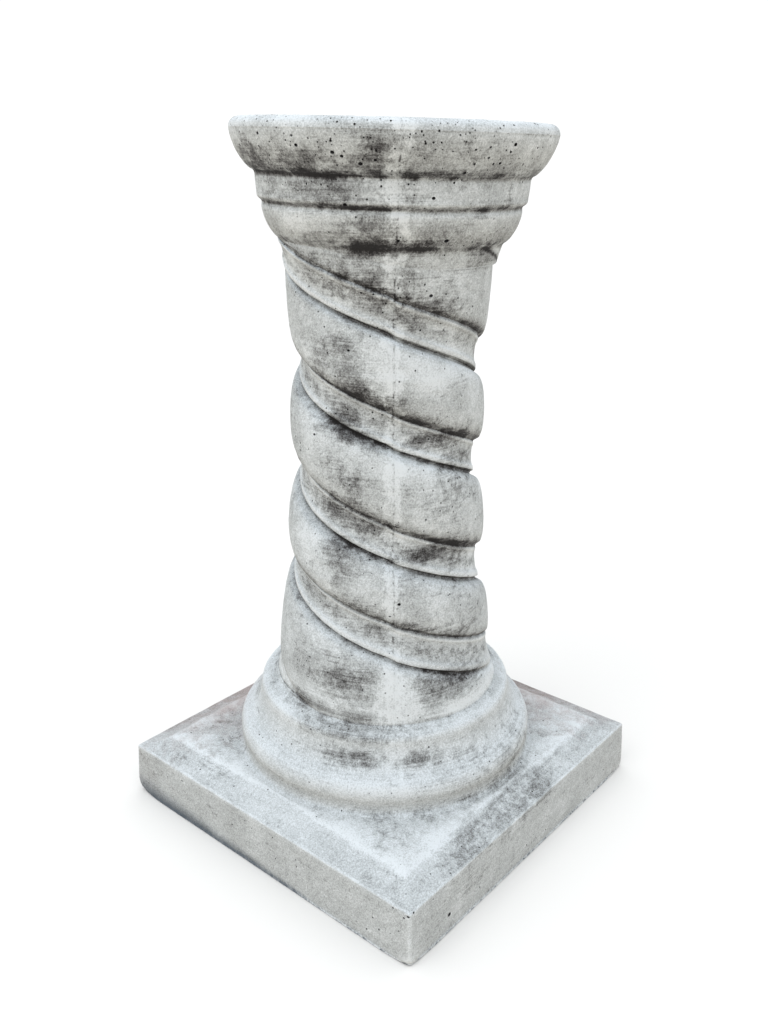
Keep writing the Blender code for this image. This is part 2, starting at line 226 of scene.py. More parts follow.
# painted light: what faces up is tinted cooler and what faces down warmer, as the light falling on them is coloured
light_tint_by_facing = add(t, "ShaderNodeMapRange", {"Value": facing, "From Min": -0.5, "From Max": 0.7})
painted_light_tint = add(t, "ShaderNodeMix", {0: light_tint_by_facing, 6: linear(WARM_LIGHT_BELOW), 7: linear(COOL_LIGHT_ABOVE)}, out=2, data_type="RGBA")
light_tinted = add(t, "ShaderNodeMix", {0: 1.0, 6: ramp.outputs[0], 7: painted_light_tint}, out=2,
                data_type="RGBA", blend_type="MULTIPLY")

# the plinth's low parts are tinted mauve-brown towards its back corner, most on what faces up
far_side = add(t, "ShaderNodeVectorMath", {0: place, 1: TO_BACK}, out="Value", operation="DOT_PRODUCT")
back_corner_reach = add(t, "ShaderNodeMath", {0: tears, 1: 0.3, 2: far_side}, operation="MULTIPLY_ADD")
back_tint = add(t, "ShaderNodeMapRange", {"Value": back_corner_reach, "From Min": 0.11, "From Max": 0.25, "To Max": 0.8})
lying = add(t, "ShaderNodeMapRange", {"Value": facing, "From Min": 0.0, "From Max": 0.6, "To Min": 0.3})
back_tint = add(t, "ShaderNodeMath", {0: back_tint, 1: lying}, operation="MULTIPLY")
low = add(t, "ShaderNodeMapRange", {"Value": axes["Z"], "From Min": 0.13, "From Max": 0.08})
low_back_tint = add(t, "ShaderNodeMath", {0: back_tint, 1: low}, operation="MULTIPLY")
back_tinted = add(t, "ShaderNodeMix", {0: low_back_tint, 6: light_tinted, 7: linear(BACK_CORNER_MAUVE)}, out=2,
             data_type="RGBA", blend_type="MULTIPLY")

# painted shadow: a dark blue band painted along the plinth's foot, tallest at the corner between its -X and -Y sides
foot_shadow_reach = add(t, "ShaderNodeMapRange", {"Value": axes["X"], "From Min": 0.10, "From Max": -0.2,
                                       "To Min": 0.0020, "To Max": 0.026})
foot_shadow_line = add(t, "ShaderNodeMath", {0: blotches, 1: 0.012, 2: axes["Z"]}, operation="MULTIPLY_ADD")
foot_shadow = add(t, "ShaderNodeMath", {0: foot_shadow_line, 1: 0.006}, operation="SUBTRACT")
foot_shadow = add(t, "ShaderNodeMath", {0: foot_shadow, 1: foot_shadow_reach}, operation="DIVIDE")
foot_shadow = add(t, "ShaderNodeMapRange", {"Value": foot_shadow, "From Min": 1.2, "From Max": -0.2, "To Max": 0.95},
           interpolation_type="SMOOTHSTEP")
finish = add(t, "ShaderNodeMix", {0: foot_shadow, 6: back_tinted, 7: linear(FOOT_SHADOW_BLUE)}, out=2, data_type="RGBA")

# relief in millimetres, for the bump
relief = add(t, "ShaderNodeMath", {0: sand, 1: 0.6}, operation="MULTIPLY")
relief = add(t, "ShaderNodeMath", {0: blotches, 1: 1.1, 2: relief}, operation="MULTIPLY_ADD")
relief = add(t, "ShaderNodeMath", {0: marks, 1: 0.20, 2: relief}, operation="MULTIPLY_ADD")
relief = add(t, "ShaderNodeMath", {0: ridge, 1: 0.5, 2: relief}, operation="MULTIPLY_ADD")
relief = add(t, "ShaderNodeMath", {0: pinhole, 1: -0.8, 2: relief}, operation="MULTIPLY_ADD")
bump = add(t, "ShaderNodeBump", {"Height": relief, "Distance": 0.001, "Strength": 1.0})
surface = add(t, "ShaderNodeBsdfPrincipled", {"Base Color": finish, "Roughness": 0.9, "Normal": bump,
                                              "Specular IOR Level": 0.3, "IOR": 1.5})
add(t, "ShaderNodeOutputMaterial", {"Surface": surface}, out=None)


# The shaft: a core that swells to the foot and the neck, wound with two flat bands and
# the two full lobes between them, left-handed. The bands have a raised arris along each
# edge; the lobe under a band starts in a groove, and the lobe over it hangs over its arris.
SHAFT_FOOT = 0.156
SHAFT_NECK = 0.640
TILT_TOWARDS = Vector((math.cos(math.radians(45.0)), math.sin(math.radians(45.0)), 0.0))
NECK_ASIDE = 0.0030
SHAFT_SIZES = {
    "Foot Height": SHAFT_FOOT, "Neck Height": SHAFT_NECK, "Waist Height": 0.524,
    "Foot Radius": 0.1265, "Waist Radius": 0.0908, "Neck Radius": 0.1095,
    "Foot Flare": 2.7, "Neck Flare": 1.42, "End Overlap": 0.010,
    "Lead": 0.2206, "Spacing": 0.1103, "First Edge Height": 0.5656,
    "Band Width": 0.0362, "Band Share": 0.4, "Small Relief": 0.0080,
    "First Sag": 0.0215, "First Sag Reach": 0.300, "Second Sag": 0.0115, "Second Sag Reach": 0.105,
    "Lobe Relief": 0.0122, "Lobe Foot Relief": 0.0040, "Lobe Foot Fade": 0.150, "Lobe Neck Fade": 0.120,
    "Run Out From": 0.168, "Run Out To": 0.205, "Run Out Share": 0.25,
    "Neck Aside": NECK_ASIDE, "Mould Slip": 0.0022, "Slip Full From": 0.19, "Slip Full To": 0.62,
}
MOULD_LINE_HALF = 0.002
SHAFT_COLUMNS = 88
SHAFT_ROWS = 200
MERGE_WITHIN = 0.00002
# across one band and one lobe: arris, flat, arris, groove, lobe, crease under the lobe; 0.5 is level
EDGE_LINE = [(0.0, 0.62), (0.014, 0.68), (0.034, 0.66), (0.075, 0.50), (0.16, 0.43), (0.24, 0.46), (0.285, 0.58),
             (0.32, 0.70), (0.35, 0.69), (0.372, 0.50), (0.386, 0.22), (0.400, 0.27), (0.420, 0.42), (0.450, 0.5),
             (0.94, 0.5), (0.968, 0.44), (0.984, 0.27), (0.994, 0.38), (1.0, 0.62)]
# how the lobe swells from the groove down to its crease
LOBE_LINE = [(0.0, 0.0), (0.012, 0.22), (0.04, 0.42), (0.1, 0.64), (0.2, 0.83), (0.35, 0.96), (0.5, 1.0),
             (0.65, 0.985), (0.78, 0.90), (0.88, 0.74), (0.94, 0.58), (0.975, 0.36), (0.99, 0.12), (1.0, 0.0)]


def tree_with(name, sizes):
    """A geometry tree with one named input for each size."""
    tree = bpy.data.node_groups.new(name, "GeometryNodeTree")
    tree.interface.new_socket("Geometry", in_out="INPUT", socket_type="NodeSocketGeometry")
    for size in sizes:
        tree.interface.new_socket(size, in_out="INPUT", socket_type="NodeSocketFloat")
    tree.interface.new_socket("Geometry", in_out="OUTPUT", socket_type="NodeSocketGeometry")
    return tree


def close_tree(tree, geometry):
    """End a geometry tree as plain geometry in cement."""
    real = add(tree, "GeometryNodeRealizeInstances", {"Geometry": geometry})
    coated = add(tree, "GeometryNodeSetMaterial", {"Geometry": real, "Material": cement})
    add(tree, "NodeGroupOutput", {"Geometry": coated}, out=None)


def grown(piece, tree, sizes):
    """The mesh that a piece becomes when the tree works on it with these sizes."""
    work = piece.modifiers.new(tree.name, "NODES")
    work.node_group = tree
    for item in tree.interface.items_tree:
        if item.in_out == "INPUT" and item.name in sizes:
            work[item.identifier] = sizes[item.name]
    return settled(piece)


def settled(piece):
    """A piece's mesh with its modifiers applied."""
    bpy.context.view_layer.update()
    mesh = bpy.data.meshes.new_from_object(piece.evaluated_get(bpy.context.evaluated_depsgraph_get()))
    piece.modifiers.clear()
    return mesh


def new_piece(name, mesh=None):
    piece = bpy.data.objects.new(name, mesh or bpy.data.meshes.new(name))
    bpy.context.scene.collection.objects.link(piece)
    return piece


def draw(node, points):
    """Give a curve node its points."""
    line = node.mapping.curves[0]
    for place_on, value in points[1:-1]:
        line.points.new(place_on, value)
    line.points[0].location = points[0]
    line.points[-1].location = points[-1]
    for point in line.points:
        point.handle_type = "AUTO_CLAMPED"
    node.mapping.update()
    return node.outputs[0]


g = tree_with("Twisted shaft", SHAFT_SIZES)
size = add(g, "NodeGroupInput", out=None).outputs
net = add(g, "GeometryNodeMeshGrid", {"Size X": 1.0, "Size Y": 1.0, "Vertices X": 2 * SHAFT_COLUMNS + 1,
                                      "Vertices Y": SHAFT_ROWS + 1})
spot = add(g, "ShaderNodeSeparateXYZ", {0: add(g, "GeometryNodeInputPosition")}, out=None)
round_share = add(g, "ShaderNodeMath", {0: spot.outputs["X"], 1: 0.5}, operation="ADD")
foot_end = add(g, "ShaderNodeMath", {0: size["Foot Height"], 1: size["End Overlap"]}, operation="SUBTRACT")
neck_end = add(g, "ShaderNodeMath", {0: size["Neck Height"], 1: size["End Overlap"]}, operation="ADD")
height = add(g, "ShaderNodeMapRange", {"Value": spot.outputs["Y"], "From Min": -0.5, "From Max": 0.5,
                                       "To Min": foot_end, "To Max": neck_end})
held_low = add(g, "ShaderNodeMath", {0: height, 1: size["Foot Height"]}, operation="MAXIMUM")
held = add(g, "ShaderNodeMath", {0: held_low, 1: size["Neck Height"]}, operation="MINIMUM")

# which band a column belongs to, and how far through that band and lobe it lies
second = add(g, "ShaderNodeMath", {0: round_share, 1: 0.4999}, operation="GREATER_THAN")
doubled = add(g, "ShaderNodeMath", {0: round_share, 1: 2.0}, operation="MULTIPLY")
through = add(g, "ShaderNodeMath", {0: doubled, 1: second}, operation="SUBTRACT")
first_from = add(g, "ShaderNodeMath", {0: size["Foot Height"], 1: size["First Sag Reach"]}, operation="ADD")
first_sag = add(g, "ShaderNodeMapRange", {"Value": height, "From Min": first_from, "From Max": size["Foot Height"],
                                          "To Min": 0.0, "To Max": size["First Sag"]})
second_from = add(g, "ShaderNodeMath", {0: size["Foot Height"], 1: size["Second Sag Reach"]}, operation="ADD")
second_sag = add(g, "ShaderNodeMapRange", {"Value": height, "From Min": second_from, "From Max": size["Foot Height"],
                                           "To Min": 0.0, "To Max": size["Second Sag"]})
own_sag = add(g, "ShaderNodeMix", {0: second, 2: first_sag, 3: second_sag})
next_sag = add(g, "ShaderNodeMix", {0: second, 2: second_sag, 3: first_sag})
stretch = add(g, "ShaderNodeMath", {0: next_sag, 1: own_sag}, operation="SUBTRACT")
span = add(g, "ShaderNodeMath", {0: size["Spacing"], 1: stretch}, operation="ADD")
lobe_span = add(g, "ShaderNodeMath", {0: span, 1: size["Band Width"]}, operation="SUBTRACT")
band_drop = add(g, "ShaderNodeMapRange", {"Value": through, "From Min": 0.0, "From Max": size["Band Share"],
                                          "To Min": 0.0, "To Max": size["Band Width"]})
lobe_share = add(g, "ShaderNodeMapRange", {"Value": through, "From Min": size["Band Share"], "From Max": 1.0})
drop = add(g, "ShaderNodeMath", {0: lobe_share, 1: lobe_span, 2: band_drop}, operation="MULTIPLY_ADD")

# the radius: core, lobe and the small relief of arrises, groove and crease
below = add(g, "ShaderNodeMapRange", {"Value": held, "From Min": size["Waist Height"], "From Max": size["Foot Height"]})
above = add(g, "ShaderNodeMapRange", {"Value": held, "From Min": size["Waist Height"], "From Max": size["Neck Height"]})
foot_gain = add(g, "ShaderNodeMath", {0: size["Foot Radius"], 1: size["Waist Radius"]}, operation="SUBTRACT")
neck_gain = add(g, "ShaderNodeMath", {0: size["Neck Radius"], 1: size["Waist Radius"]}, operation="SUBTRACT")
low_bulge = add(g, "ShaderNodeMath", {0: below, 1: size["Foot Flare"]}, operation="POWER")
high_bulge = add(g, "ShaderNodeMath", {0: above, 1: size["Neck Flare"]}, operation="POWER")
low_core = add(g, "ShaderNodeMath", {0: low_bulge, 1: foot_gain, 2: size["Waist Radius"]}, operation="MULTIPLY_ADD")
core = add(g, "ShaderNodeMath", {0: high_bulge, 1: neck_gain, 2: low_core}, operation="MULTIPLY_ADD")
fade_from = add(g, "ShaderNodeMath", {0: size["Neck Height"], 1: size["Lobe Neck Fade"]}, operation="SUBTRACT")
neck_fade = add(g, "ShaderNodeMapRange", {"Value": held, "From Min": fade_from, "From Max": size["Neck Height"],
                                          "To Min": 1.0, "To Max": 0.0})
fade_to = add(g, "ShaderNodeMath", {0: size["Foot Height"], 1: size["Lobe Foot Fade"]}, operation="ADD")
full = add(g, "ShaderNodeMapRange", {"Value": held, "From Min": size["Foot Height"], "From Max": fade_to,
                                     "To Min": size["Lobe Foot Relief"], "To Max": size["Lobe Relief"]})
lift = add(g, "ShaderNodeMath", {0: full, 1: neck_fade}, operation="MULTIPLY")
swell = draw(add(g, "ShaderNodeFloatCurve", {"Value": lobe_share}, out=None), LOBE_LINE)
lobe_radius = add(g, "ShaderNodeMath", {0: lift, 1: swell, 2: core}, operation="MULTIPLY_ADD")
edges = draw(add(g, "ShaderNodeFloatCurve", {"Value": through}, out=None), EDGE_LINE)
level = add(g, "ShaderNodeMath", {0: edges, 1: 0.5}, operation="SUBTRACT")
run_out = add(g, "ShaderNodeMapRange", {"Value": height, "From Min": size["Run Out From"],
                                        "From Max": size["Run Out To"], "To Min": size["Run Out Share"]})
fading = add(g, "ShaderNodeMath", {0: level, 1: run_out}, operation="MULTIPLY")
radius = add(g, "ShaderNodeMath", {0: fading, 1: size["Small Relief"], 2: lobe_radius}, operation="MULTIPLY_ADD")

# the winding: a point's angle follows from how far it lies under the first band's edge
second_start = add(g, "ShaderNodeMath", {0: second, 1: size["Spacing"]}, operation="MULTIPLY")
fallen = add(g, "ShaderNodeMath", {0: size["First Edge Height"], 1: height}, operation="SUBTRACT")
less_start = add(g, "ShaderNodeMath", {0: fallen, 1: second_start}, operation="SUBTRACT")
less_sag = add(g, "ShaderNodeMath", {0: less_start, 1: own_sag}, operation="SUBTRACT")
less_drop = add(g, "ShaderNodeMath", {0: less_sag, 1: drop}, operation="SUBTRACT")
turns = add(g, "ShaderNodeMath", {0: less_drop, 1: size["Lead"]}, operation="DIVIDE")
angle = add(g, "ShaderNodeMath", {0: turns, 1: 2 * math.pi}, operation="MULTIPLY")
drift = add(g, "ShaderNodeMapRange", {"Value": held, "From Min": size["Foot Height"], "From Max": size["Neck Height"],
                                      "To Min": 0.0, "To Max": size["Neck Aside"]})
aside = add(g, "ShaderNodeMath", {0: drift, 1: TILT_TOWARDS.x}, operation="MULTIPLY")
cosine = add(g, "ShaderNodeMath", {0: angle}, operation="COSINE")
sine = add(g, "ShaderNodeMath", {0: angle}, operation="SINE")
x = add(g, "ShaderNodeMath", {0: radius, 1: cosine, 2: aside}, operation="MULTIPLY_ADD")
y = add(g, "ShaderNodeMath", {0: radius, 1: sine, 2: aside}, operation="MULTIPLY_ADD")

# the mould's two halves met a little out of step, so the far half of each band lies lower
past_line = add(g, "ShaderNodeMath", {0: x, 1: y}, operation="ADD")
far_half = add(g, "ShaderNodeMapRange", {"Value": past_line, "From Min": -MOULD_LINE_HALF, "From Max": MOULD_LINE_HALF,
                                         "To Min": 0.5, "To Max": -0.5}, interpolation_type="SMOOTHSTEP")
off_foot = add(g, "ShaderNodeMapRange", {"Value": height, "From Min": size["Foot Height"],
                                         "From Max": size["Slip Full From"]})
off_neck = add(g, "ShaderNodeMapRange", {"Value": height, "From Min": size["Neck Height"],
                                         "From Max": size["Slip Full To"]})
free = add(g, "ShaderNodeMath", {0: off_foot, 1: off_neck}, operation="MULTIPLY")
slip = add(g, "ShaderNodeMath", {0: far_half, 1: size["Mould Slip"]}, operation="MULTIPLY")
z = add(g, "ShaderNodeMath", {0: slip, 1: free, 2: height}, operation="MULTIPLY_ADD")
spots_wound = add(g, "ShaderNodeCombineXYZ", {0: x, 1: y, 2: z})
wound = add(g, "GeometryNodeSetPosition", {"Geometry": net, "Position": spots_wound})
close_tree(g, add(g, "GeometryNodeMergeByDistance", {"Geometry": wound, "Distance": MERGE_WITHIN}))
column = new_piece("column_of_cast_cement")
column.data = grown(column, g, SHAFT_SIZES)

# both open ends are closed flat, inside the base and the head
ends = bmesh.new()
ends.from_mesh(column.data)
bmesh.ops.holes_fill(ends, edges=[edge for edge in ends.edges if edge.is_boundary], sides=0)
bmesh.ops.recalc_face_normals(ends, faces=ends.faces[:])
ends.to_mesh(column.data)
ends.free()


# The head: a thick disc with a rounded rim over two rings, turned on the pattern and
# cast with the shaft. It sits a little aside and out of level, and the mould left a
# fine line all round under the rim.
HEAD_RADIUS = 0.1583
HEAD_HEIGHT = 0.110
HEAD_ASIDE = 0.0055
HEAD_LEAN_DEG = 1.4
RIM_ROUND = 0.0100
MOULD_LINE_BELOW_TOP = 0.0106
DISC_HEIGHT = 0.0480
DISC_FOOT_RADIUS = 0.1350
RING_RADIUS = 0.1340
RING_HEIGHT = 0.0277
LOWER_RING_RADIUS = 0.1288
NECK_RADIUS = 0.1118
ROUND_STEPS = 230


def arc(centre, radius, start_deg, end_deg, steps):
    """Points on a circle in the (radius, height) plane, 0 degrees pointing outwards."""
    turns = [math.radians(start_deg + (end_deg - start_deg) * i / steps) for i in range(steps + 1)]
    return [(centre[0] + radius * math.cos(a), centre[1] + radius * math.sin(a)) for a in turns]


def bow(start, end, fullness, steps):
    """A quarter of a superellipse from start, where it runs down, to end, where it runs in."""
    points = []
    for i in range(1, steps + 1):
        a = 0.5 * math.pi * i / steps
        points.append((start[0] + (end[0] - start[0]) * (1.0 - math.cos(a) ** (2.0 * fullness)),
                       start[1] + (end[1] - start[1]) * math.sin(a) ** (2.0 * fullness)))
    return points


def softened(points, spacing, passes):
    """A line of evenly spaced points with its corners run soft, as by slurry on a mould."""
    steps = [math.dist(p, q) for p, q in zip(points, points[1:])]
    run = np.concatenate([[0.0], np.cumsum(steps)])
    even = np.linspace(0.0, run[-1], int(run[-1] / spacing) + 1)
    line = np.stack([np.interp(even, run, [p[axis] for p in points]) for axis in (0, 1)], axis=1)
    for _ in range(passes):
        line[1:-1] = 0.5 * line[1:-1] + 0.25 * (line[:-2] + line[2:])
    return [tuple(point) for point in line.tolist()]


def turned(name, profile, steps):
    """A profile of (radius, height) points, from top to bottom, turned about the Z axis."""
    piece = new_piece(name)
    piece.data.from_pydata([(r, 0.0, h) for r, h in profile], [(i, i + 1) for i in range(len(profile) - 1)], [])
    lathe = piece.modifiers.new("Lathe", "SCREW")
    lathe.steps = lathe.render_steps = steps
    lathe.use_merge_vertices = True
    lathe.merge_threshold = 0.00001
    piece.data = settled(piece)
    return piece


line_height = HEAD_HEIGHT - MOULD_LINE_BELOW_TOP
disc_foot = (DISC_FOOT_RADIUS, HEAD_HEIGHT - DISC_HEIGHT)
ring_foot = disc_foot[1] - RING_HEIGHT
head_line = [(r, HEAD_HEIGHT) for r in (0.0, 0.04, 0.08, 0.12, 0.135)]
head_line += arc((HEAD_RADIUS - RIM_ROUND, HEAD_HEIGHT - RIM_ROUND), RIM_ROUND, 90.0, 0.0, 8)
head_line += [(HEAD_RADIUS + 0.0001, line_height), (HEAD_RADIUS - 0.0001, line_height - 0.0006)]
head_line += bow((HEAD_RADIUS - 0.0002, line_height - 0.0016), (disc_foot[0] + 0.0012, disc_foot[1]), 0.70, 22)
ring_line = [head_line.pop(), (RING_RADIUS + 0.0004, disc_foot[1] - 0.0016)]
ring_line += [(RING_RADIUS + 0.0006 - 0.0016 * i / 6, disc_foot[1] - 0.0030 - 0.0165 * i / 6) for i in range(7)]
ring_line += arc((RING_RADIUS - 0.0062, ring_foot + 0.0062), 0.0054, 18.0, -72.0, 8)
ring_line += [(LOWER_RING_RADIUS - 0.0016, ring_foot - 0.0001), (LOWER_RING_RADIUS - 0.0004, ring_foot - 0.0022)]
ring_line += bow((LOWER_RING_RADIUS - 0.0001, ring_foot - 0.0034), (NECK_RADIUS, 0.0), 0.66, 14)
ring_line += [(0.1106, -0.0035), (0.1094, -0.0080), (0.1081, -0.0130), (0.1064, -0.0190)]
head_line += softened(ring_line, 0.0012, 4) + [(0.0, -0.0190)]
head = turned("head_moulding", head_line, ROUND_STEPS)
head.data.transform(Matrix.Translation(TILT_TOWARDS * HEAD_ASIDE + Vector((0.0, 0.0, SHAFT_NECK)))
                    @ Matrix.Rotation(math.radians(HEAD_LEAN_DEG), 4, Vector((0.0, 0.0, 1.0)).cross(TILT_TOWARDS)))


# The base: a small roll round the shaft's foot, a shallow hollow and a broad torus,
# turned as one moulding, with the torus run softly into the plinth.
PLATEAU = 0.075
TORUS = (0.1495, 0.0955)
TORUS_SECTION = 0.0210
ROLL = (0.1330, 0.1445)
ROLL_SECTION = 0.0115
HOLLOW_DEPTH = 0.0026
BASE_RADIUS = 0.1757
SUNK = 0.006

roll_line = arc(ROLL, ROLL_SECTION, 84.0, -6.0, 12)
torus_line = arc(TORUS, TORUS_SECTION, 64.0, -24.0, 14)
(r0, h0), (r1, h1) = roll_line[-1], torus_line[0]
hollow_line = []
for i in range(1, 10):
    share = i / 10
    sink = 4.0 * HOLLOW_DEPTH * share * (1.0 - share) / math.hypot(r1 - r0, h1 - h0)
    hollow_line.append((r0 + (r1 - r0) * share + (h1 - h0) * sink, h0 + (h1 - h0) * share - (r1 - r0) * sink))
shaft_side = [(0.1250, 0.1640), (0.1280, 0.1590)]
run_down = [(0.1689, 0.0840), (0.1693, 0.0800), (0.1705, 0.0771), (0.1726, 0.0756), (BASE_RADIUS, PLATEAU - 0.0006)]
soft_line = softened(shaft_side + roll_line + hollow_line + torus_line + run_down, 0.0017, 5)
base_line = [(0.0, soft_line[0][1])] + soft_line + [(BASE_RADIUS, PLATEAU - SUNK), (0.0, PLATEAU - SUNK)]
base = turned("base_moulding", base_line, ROUND_STEPS)


# The plinth: a square slab with leaning sides, a sunk cove along its border and a flat
# field under the torus. Its arrises are worn round.
PLINTH_HALF = 0.2120
PLINTH_DRAFT = 0.0027
EDGE_HEIGHT = 0.0625
BORDER_WIDTH = 0.0333
COVE_DEPTH = 0.0018
ARRIS_ROUND = 0.0034
FOOT_ROUND = 0.0012
PLINTH_SIDE_STEPS = 42
CORNER_STEPS = 5
COVE_STEPS = 12
SIDE_ROWS = (0.03, 0.07, 0.12, 0.18, 0.26, 0.36, 0.48, 0.6, 0.72, 0.84, 0.93, 1.0)
LEAST_WEAR = 0.0010
LEFT_CORNER_WEAR = 0.0105
CORNER_WEAR = 0.0065


def square_ring(mesh, half, corner, level_at):
    """A ring of vertices on a square with rounded corners."""
    ring = []
    for quarter in range(4):
        turn = Matrix.Rotation(quarter * math.pi / 2, 3, "Z")
        for i in range(PLINTH_SIDE_STEPS):
            along_side = -1.0 + 2.0 * (i + 0.5) / PLINTH_SIDE_STEPS
            along_side *= 1.5 - 0.5 * along_side ** 2
            ring.append(mesh.verts.new(turn @ Vector((half, along_side * (half - corner), level_at))))
        for i in range(1, CORNER_STEPS):
            a = math.radians(90.0 * i / CORNER_STEPS)
            ring.append(mesh.verts.new(turn @ Vector((half - corner + corner * math.cos(a),
                                                      half - corner + corner * math.sin(a), level_at))))
    return ring


plinth_rows = [(PLINTH_HALF - FOOT_ROUND, 0.0), (PLINTH_HALF - 0.0004, 0.0004), (PLINTH_HALF, FOOT_ROUND)]
for share in SIDE_ROWS:
    plinth_rows.append((PLINTH_HALF - PLINTH_DRAFT * share,
                        FOOT_ROUND + (EDGE_HEIGHT - ARRIS_ROUND - FOOT_ROUND) * share))
edge_half = PLINTH_HALF - PLINTH_DRAFT - ARRIS_ROUND
plinth_rows += arc((edge_half, EDGE_HEIGHT - ARRIS_ROUND), ARRIS_ROUND, 15.0, 75.0, 4)
for i in range(COVE_STEPS + 1):
    share = i / COVE_STEPS
    sag = 4.0 * COVE_DEPTH * share * (1.0 - share)
    plinth_rows.append((edge_half - (BORDER_WIDTH - ARRIS_ROUND) * share,
                        EDGE_HEIGHT + (PLATEAU - EDGE_HEIGHT) * share - sag))
plinth_rows += [(edge_half - BORDER_WIDTH - 0.010 * i, PLATEAU) for i in range(1, 5)]
slab = bmesh.new()
rings = [square_ring(slab, half, min(ARRIS_ROUND, 0.2 * half), level_at) for half, level_at in plinth_rows]
for low, high in zip(rings, rings[1:]):
    for i in range(len(low)):
        slab.faces.new((low[i - 1], low[i], high[i], high[i - 1]))
for spot in slab.verts:
    # the corners at the foot are knocked and worn round, the left one most
    sides = [PLINTH_HALF - abs(spot.co.x), PLINTH_HALF - abs(spot.co.y), spot.co.z]
    worn_by = LEFT_CORNER_WEAR if spot.co.x < 0.0 and spot.co.y < 0.0 else CORNER_WEAR
    nearness = 1.0 - min(1.0, max(0.0, max(sides) - 0.004) / 0.050)
    wear = LEAST_WEAR + (worn_by - LEAST_WEAR) * nearness ** 2
    inside = [max(0.0, wear - gap) for gap in sides]
    past = math.hypot(*inside)
    if past > wear:
        for axis in (0, 1):
            if inside[axis]:
                knocked_to = PLINTH_HALF - wear + inside[axis] * wear / past
                spot.co[axis] = math.copysign(knocked_to, spot.co[axis])
        if inside[2]:
            spot.co.z = wear - inside[2] * wear / past
slab.faces.new(rings[0][::-1])
slab.faces.new(rings[-1])
bmesh.ops.recalc_face_normals(slab, faces=slab.faces[:])
plinth = new_piece("plinth_slab")
slab.to_mesh(plinth.data)
slab.free()


# The casting: the mouldings fused into one piece, as they left the mould, with the
# slightly uneven skin, knocked arrises and open air bubbles of cement cast by hand.
for moulding in (base, plinth, head):
    fuse = column.modifiers.new("Join " + moulding.name, "BOOLEAN")
    fuse.operation = "UNION"
    fuse.solver = "MANIFOLD"
    fuse.object = moulding
column.data = settled(column)
for moulding in (base, plinth, head):
    bpy.data.objects.remove(moulding)

SKIN_SIZES = {"Swell Depth": 0.0009, "Swell Scale": 26.0, "Ripple Depth": 0.0009, "Ripple Scale": 95.0,
              "Ground Height": 0.002}
g = tree_with("Uneven skin", SKIN_SIZES)
size = add(g, "NodeGroupInput", out=None).outputs
swells = add(g, "ShaderNodeTexNoise", {"Scale": size["Swell Scale"], "Detail": 2.0})
ripples = add(g, "ShaderNodeTexNoise", {"Scale": size["Ripple Scale"], "Detail": 2.0})
sunk = add(g, "ShaderNodeMath", {0: swells, 1: size["Swell Depth"]}, operation="MULTIPLY")
sunk = add(g, "ShaderNodeMath", {0: ripples, 1: size["Ripple Depth"], 2: sunk}, operation="MULTIPLY_ADD")
inward = add(g, "ShaderNodeMath", {0: sunk, 1: -1.0}, operation="MULTIPLY")
offset = add(g, "ShaderNodeVectorMath", {0: add(g, "GeometryNodeInputNormal"), "Scale": inward}, operation="SCALE")
ground = add(g, "ShaderNodeSeparateXYZ", {0: add(g, "GeometryNodeInputPosition")}, out="Z")
standing = add(g, "ShaderNodeMath", {0: ground, 1: size["Ground Height"]}, operation="GREATER_THAN")
close_tree(g, add(g, "GeometryNodeSetPosition", {"Geometry": size["Geometry"], "Selection": standing,
                                                 "Offset": offset}))
column.data = grown(column, g, SKIN_SIZES)

# small air bubbles that opened at the surface, thickest on the face of the disc
HOLE_SIZES = {"Holes Per Square Metre": 4200.0, "Least Gap": 0.0035, "Smallest Radius": 0.0006,
              "Largest Radius": 0.0012, "Sunk Share": -0.4, "Disc Foot Height": 0.695,
              "Share Elsewhere": 0.07, "Ground Height": 0.003, "Level Face": 0.9, "Seed": 7.0}
g = tree_with("Air holes", HOLE_SIZES)
size = add(g, "NodeGroupInput", out=None).outputs
level_of = add(g, "ShaderNodeSeparateXYZ", {0: add(g, "GeometryNodeInputPosition")}, out="Z")
on_disc = add(g, "ShaderNodeMath", {0: level_of, 1: size["Disc Foot Height"]}, operation="GREATER_THAN")
up = add(g, "ShaderNodeSeparateXYZ", {0: add(g, "GeometryNodeInputNormal")}, out="Z")
shown = add(g, "ShaderNodeMath", {0: up, 1: size["Level Face"]}, operation="LESS_THAN")
on_face = add(g, "ShaderNodeMath", {0: on_disc, 1: shown}, operation="MULTIPLY")
likely = add(g, "ShaderNodeMix", {0: on_face, 2: size["Share Elsewhere"], 3: 1.0})
off_ground = add(g, "ShaderNodeMath", {0: level_of, 1: size["Ground Height"]}, operation="GREATER_THAN")
scattered = add(g, "GeometryNodeDistributePointsOnFaces", {
    "Mesh": size["Geometry"], "Selection": off_ground, "Distance Min": size["Least Gap"],
    "Density Max": size["Holes Per Square Metre"], "Density Factor": likely, "Seed": size["Seed"]},
    distribute_method="POISSON", out=None).outputs
bubble = add(g, "GeometryNodeMeshUVSphere", {"Radius": 1.0, "Segments": 8, "Rings": 5})
bubble = add(g, "GeometryNodeStoreNamedAttribute", {"Geometry": bubble, "Name": "bubble", "Value": 1.0},
             data_type="FLOAT", domain="FACE")
girth = add(g, "FunctionNodeRandomValue", {2: size["Smallest Radius"], 3: size["Largest Radius"], "Seed": 3},
            out=1, data_type="FLOAT")
depth = add(g, "ShaderNodeMath", {0: girth, 1: size["Sunk Share"]}, operation="MULTIPLY")
sinking = add(g, "ShaderNodeVectorMath", {0: scattered["Normal"], "Scale": depth}, operation="SCALE")
points = add(g, "GeometryNodeSetPosition", {"Geometry": scattered["Points"], "Offset": sinking})
bubbles = add(g, "GeometryNodeInstanceOnPoints", {"Points": points, "Instance": bubble, "Scale": girth})
close_tree(g, bubbles)
small_holes = new_piece("small_air_holes", column.data.copy())
